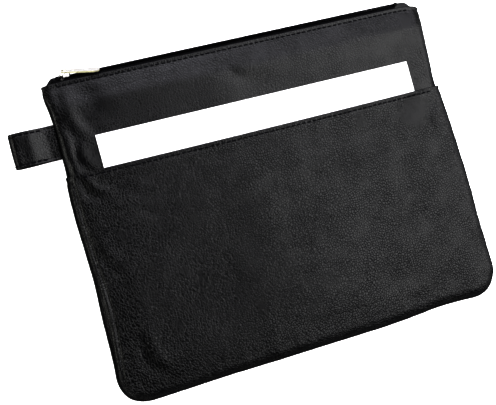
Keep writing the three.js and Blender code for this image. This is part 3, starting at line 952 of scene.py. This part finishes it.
def make_tape(name, direction, node):
    """One woven tape. Its right end turns down into the mouth's corner; its left stands up."""
    line = np.array(tape_line(direction))
    run = directions(line)
    out = np.stack([-run[:, 1], run[:, 0]], axis=1) * direction
    half = TAPE_THICKNESS / 2
    loop = np.concatenate([line + out * half, (line - out * half)[::-1]])
    x = np.linspace(TAPE_LEFT, TAPE_RIGHT, 190)
    tuck = TAPE_TUCK * smooth(x, TAPE_RIGHT - 3, TAPE_RIGHT)
    tuck = tuck - TAPE_PERK * smooth(-x, 117.5, 119.5)
    wave = 0.12 * waves(x, 0 * x, 24, 71 + direction)
    points = np.zeros((len(x), len(loop), 3))
    points[..., 0] = x[:, None]
    points[..., 1] = loop[None, :, 1] - tuck[:, None] + wave[:, None]
    points[..., 2] = loop[None, :, 0]
    if direction > 0:
        points[..., 2] += dent(points[..., 0], points[..., 1])
    faces = bar_faces(len(x), len(loop))
    piece = make_piece(name, points.reshape(-1, 3), faces, TAPE)
    piece.data.set_sharp_from_angle(angle=math.radians(50))
    place(piece, "bag", "zip_tape", node)


def make_coil(name, direction, node):
    """One row of the zip's chain: a flattened spiral whose heads reach the middle."""
    turns = int((coil_high[0] - COIL_LEFT) / COIL_PITCH)
    angle = np.linspace(0, 2 * math.pi * turns, turns * 12 + 1)
    middle_y = (coil_low[1] + coil_high[1]) / 2
    half_height = (coil_high[1] - coil_low[1]) / 2 - COIL_WIRE
    shift = 0.25 if direction > 0 else 0.25 + COIL_PITCH / 2
    x = COIL_LEFT + shift + angle / (2 * math.pi) * COIL_PITCH
    across = (COIL_INNER + COIL_OUTER) / 2 - (COIL_OUTER - COIL_INNER) / 2 * np.cos(angle)
    # the spiral's return leg lies on the tape, so the legs that show stand square to the chain
    x = x + 0.32 * COIL_PITCH * np.sin(angle) * (np.abs(np.sin(angle)) ** 0.5)
    head = hump(across, COIL_INNER, 0.5)
    y = middle_y + half_height * np.sin(angle)
    line = np.stack([x, y, MOUTH_Z + direction * across], axis=1)
    keep = line[:, 0] < coil_high[0] - 0.3
    radius = COIL_WIRE + 0.05 * head[keep]
    up = np.tile([1.0, 0, 0], (int(keep.sum()), 1))
    points, faces = tube_parts(line[keep], radius, 7, up)
    piece = make_piece(name, points, faces, COIL)
    place(piece, "bag", "coil", node)


def make_zip():
    make_tape("front_tape_weave", 1, "front_zip_tape")
    make_tape("back_tape_weave", -1, "back_zip_tape")
    make_coil("front_coil_spiral", 1, "front_zip_coil")
    make_coil("back_coil_spiral", -1, "back_zip_coil")


BEVEL = 0.14
BEVEL_ANGLE = 35  # edges sharper than this are rounded


def finish_metal():
    """The CAD's own slider, pull and stops with softened edges. The stops are black."""
    pull_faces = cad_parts["pull_tab"].data.polygons
    plate = tuple(max(pull_faces, key=lambda face: face.area).normal)
    metals = {
        "slider_body": nickel_material("nickel"),
        "pull_tab": nickel_material("pull_nickel", flat=plate),
        "front_top_stop": COIL,
        "back_top_stop": COIL,
        "bottom_stop": COIL,
    }
    for name, metal in metals.items():
        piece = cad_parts[name]
        piece.data.materials.clear()
        piece.data.materials.append(metal)
        bevel = piece.modifiers.new("soft_edges", "BEVEL")
        bevel.width = BEVEL * MM
        bevel.segments = 3
        bevel.limit_method = "ANGLE"
        bevel.angle_limit = math.radians(BEVEL_ANGLE)
        bevel.harden_normals = True


# ---------------------------------------------------------------- loop
STRAP = 1.3  # the strap's thickness
LOOP_FOLD = (strap_high[2] - strap_low[2] - STRAP) / 2  # the fold's radius, to mid-strap
LOOP_FOLD_X = strap_low[0] + STRAP / 2 + LOOP_FOLD - 0.7
LOOP_TAIL_X = -HALF + 3.5
LOOP_STITCH_INSET = 1.8
LOOP_STITCH_PITCH = 3.6
LOOP_STITCH_START = 4.6  # outside the bag's side, so that no stitch lies in the bend


def loop_half(x):
    """Half the gap between the strap's two middles at x."""
    return STRAP / 2 + 0.05 + (LOOP_FOLD - STRAP / 2 - 0.05) * smooth(-x, HALF + 3, HALF + 17)


def loop_path():
    """The strap's middle line and its outward normals in (x, z), from tail to tail."""
    x = np.linspace(LOOP_TAIL_X, LOOP_FOLD_X, 34)
    upper = np.stack([x, SEAM_Z + loop_half(x)], axis=1)
    angle = np.radians(np.linspace(90, 270, 17))[1:-1]
    fold_x = LOOP_FOLD_X + LOOP_FOLD * np.cos(angle)
    fold = np.stack([fold_x, SEAM_Z + LOOP_FOLD * np.sin(angle)], axis=1)
    lower = upper[::-1] * [1, -1] + [0, 2 * SEAM_Z]
    line = np.concatenate([upper, fold, lower])
    run = directions(line)
    return line, np.stack([run[:, 1], -run[:, 0]], axis=1)


def loop_section():
    """The strap's section in (y, height): rounded edges, a stitch groove beside each."""
    half, thick = LOOP_HALF_WIDTH, STRAP / 2
    rows = [np.linspace(-half + thick, -half + 4, 9), np.linspace(-half + 4, 0, 6)[1:]]
    y = np.concatenate(rows)
    y = np.concatenate([y, -y[::-1][1:]])
    from_edge = half - np.abs(y)
    groove = 0.22 * hump(from_edge, LOOP_STITCH_INSET, 0.55)
    top = thick - groove + 0.12 * smooth(from_edge, 2.5, 7)
    angles = np.radians([60, 30, 0, -30, -60])
    right = np.stack([half - thick + thick * np.cos(angles), thick * np.sin(angles)], axis=1)
    bottom = np.stack([y[::-1], np.full_like(y, -thick)], axis=1)
    return np.concatenate([np.stack([y, top], axis=1), right, bottom, right[::-1] * [-1, 1]])


def make_loop():
    """The folded strap, and the stitch row along each edge."""
    line, normal = loop_path()
    section = loop_section()
    points = np.zeros((len(line), len(section), 3))
    points[..., 0] = line[:, None, 0] + normal[:, None, 0] * section[None, :, 1]
    points[..., 1] = LOOP_MIDDLE_Y + section[None, :, 0]
    points[..., 2] = line[:, None, 1] + normal[:, None, 1] * section[None, :, 1]
    sway = 0.12 * waves(points[..., 0], points[..., 1], 14, 81)
    points[..., 2] += sway * smooth(-points[..., 0], HALF + 3, HALF + 8)
    faces = bar_faces(len(line), len(section))
    strap = make_piece("loop_leather", points.reshape(-1, 3), faces, FRONT_LEATHER)
    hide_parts("loop_strap")
    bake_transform(strap)

    outside = line + normal * (STRAP / 2 - 0.2)
    free = outside[:, 0] < -HALF - LOOP_STITCH_START
    for name, sign, node in (
        ("loop_stitches_upper", 1, "loop_thread_upper"),
        ("loop_stitches_lower", -1, "loop_thread_lower"),
    ):
        y = LOOP_MIDDLE_Y + sign * (LOOP_HALF_WIDTH - LOOP_STITCH_INSET)
        places = np.stack([outside[free, 0], np.full(free.sum(), y), outside[free, 1]], axis=1)
        normals = np.stack([normal[free, 0], np.zeros(free.sum()), normal[free, 1]], axis=1)
        row = stitch_row(name, LineRow(places, normals), THREAD, pitch=LOOP_STITCH_PITCH)
        place(row, "loop", "thread", node)


# ---------------------------------------------------------------- hidden seams
def make_seam_threads():
    """The machine stitches inside the seams."""
    for name in ("side_seam_thread", "lining_seam_thread", "loop_anchor_thread"):
        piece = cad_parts[name]
        piece.data.materials.clear()
        piece.data.materials.append(THREAD)


# ---------------------------------------------------------------- room and light
FLOOR_HALF = 4.0  # in metres
FLOOR_Z = -0.3 * MM  # just below the bag


def make_floor():
    """The table. The leather doesn't mirror it, as in the photo."""
    mesh = bpy.data.meshes.new("floor")
    signs = [(-1, -1), (1, -1), (1, 1), (-1, 1)]
    corners = [(x * FLOOR_HALF, y * FLOOR_HALF, FLOOR_Z) for x, y in signs]
    mesh.from_pydata(corners, [], [(0, 1, 2, 3)])
    mesh.materials.append(floor_material())
    floor = bpy.data.objects.new("floor", mesh)
    floor.visible_glossy = False
    bpy.context.scene.collection.objects.link(floor)


SOFTBOX_DISTANCE = 1.7  # in metres, as are the widths below
WHITE = (1.0, 1.0, 1.0)
COOL = (0.98, 0.97, 1.06)
WARM = (1.0, 1.0, 0.93)
SOFTBOXES = {
    # azimuth from +X towards +Y and elevation, in degrees, then width, watts and colour
    "window": (2, 55, 1.3, 53, WHITE),
    "over_back": (62, 48, 0.9, 20, COOL),
    "left": (180, 24, 0.9, 22, WARM),
    "left_front": (225, 18, 0.9, 8, WARM),
    "back": (90, 36, 0.9, 14, COOL),
    "right": (0, 18, 0.9, 6, COOL),
}
CONTRAST = 0.74  # the picture's gamma: below 1 deepens the blacks


def add_softbox(name, azimuth, elevation, width, watts, colour):
    """A square light that faces the bag."""
    data = bpy.data.lights.new(name, "AREA")
    data.shape = "SQUARE"
    data.size = width
    data.energy = watts
    data.color = colour
    light = bpy.data.objects.new(name, data)
    turn, rise = math.radians(azimuth), math.radians(elevation)
    flat = math.cos(rise)
    out = Vector((math.cos(turn) * flat, math.sin(turn) * flat, math.sin(rise)))
    light.location = out * SOFTBOX_DISTANCE
    light.rotation_euler = (-out).to_track_quat("-Z", "Y").to_euler()
    bpy.context.scene.collection.objects.link(light)


WORLD_STRENGTH = 1.1
# grey over height: 0 is straight down, 0.5 the horizon, and 1 straight up
WORLD_STOPS = [(0.44, 0.03), (0.47, 1.0), (0.6, 1.0), (0.66, 0.01)]


def add_world():
    """A dark room with a white band round the horizon."""
    world = bpy.data.worlds.new("studio")
    world.use_nodes = True
    bpy.context.scene.world = world
    tree = world.node_tree
    where = tree.nodes.new("ShaderNodeTexCoord").outputs["Generated"]
    split = tree.nodes.new("ShaderNodeSeparateXYZ")
    tree.links.new(where, split.inputs[0])
    level = tree.nodes.new("ShaderNodeMapRange")
    level.inputs["From Min"].default_value = -1
    tree.links.new(split.outputs[2], level.inputs["Value"])
    ramp = tree.nodes.new("ShaderNodeValToRGB")
    tree.links.new(level.outputs[0], ramp.inputs[0])
    elements = ramp.color_ramp.elements
    while len(elements) < len(WORLD_STOPS):
        elements.new(0.5)
    for element, (at, grey) in zip(elements, WORLD_STOPS):
        element.position = at
        element.color = (grey, grey, grey, 1)
    background = tree.nodes["Background"]
    tree.links.new(ramp.outputs[0], background.inputs[0])
    background.inputs[1].default_value = WORLD_STRENGTH


def make_room():
    """The table, the room, the lights and the picture's contrast."""
    make_floor()
    add_world()
    for name, settings in SOFTBOXES.items():
        add_softbox(name, *settings)
    bpy.context.scene.view_settings.view_transform = "Standard"
    bpy.context.scene.view_settings.gamma = CONTRAST


make_panels()
make_rows()
make_slip()
make_zip()
finish_metal()
make_loop()
make_seam_threads()
make_room()
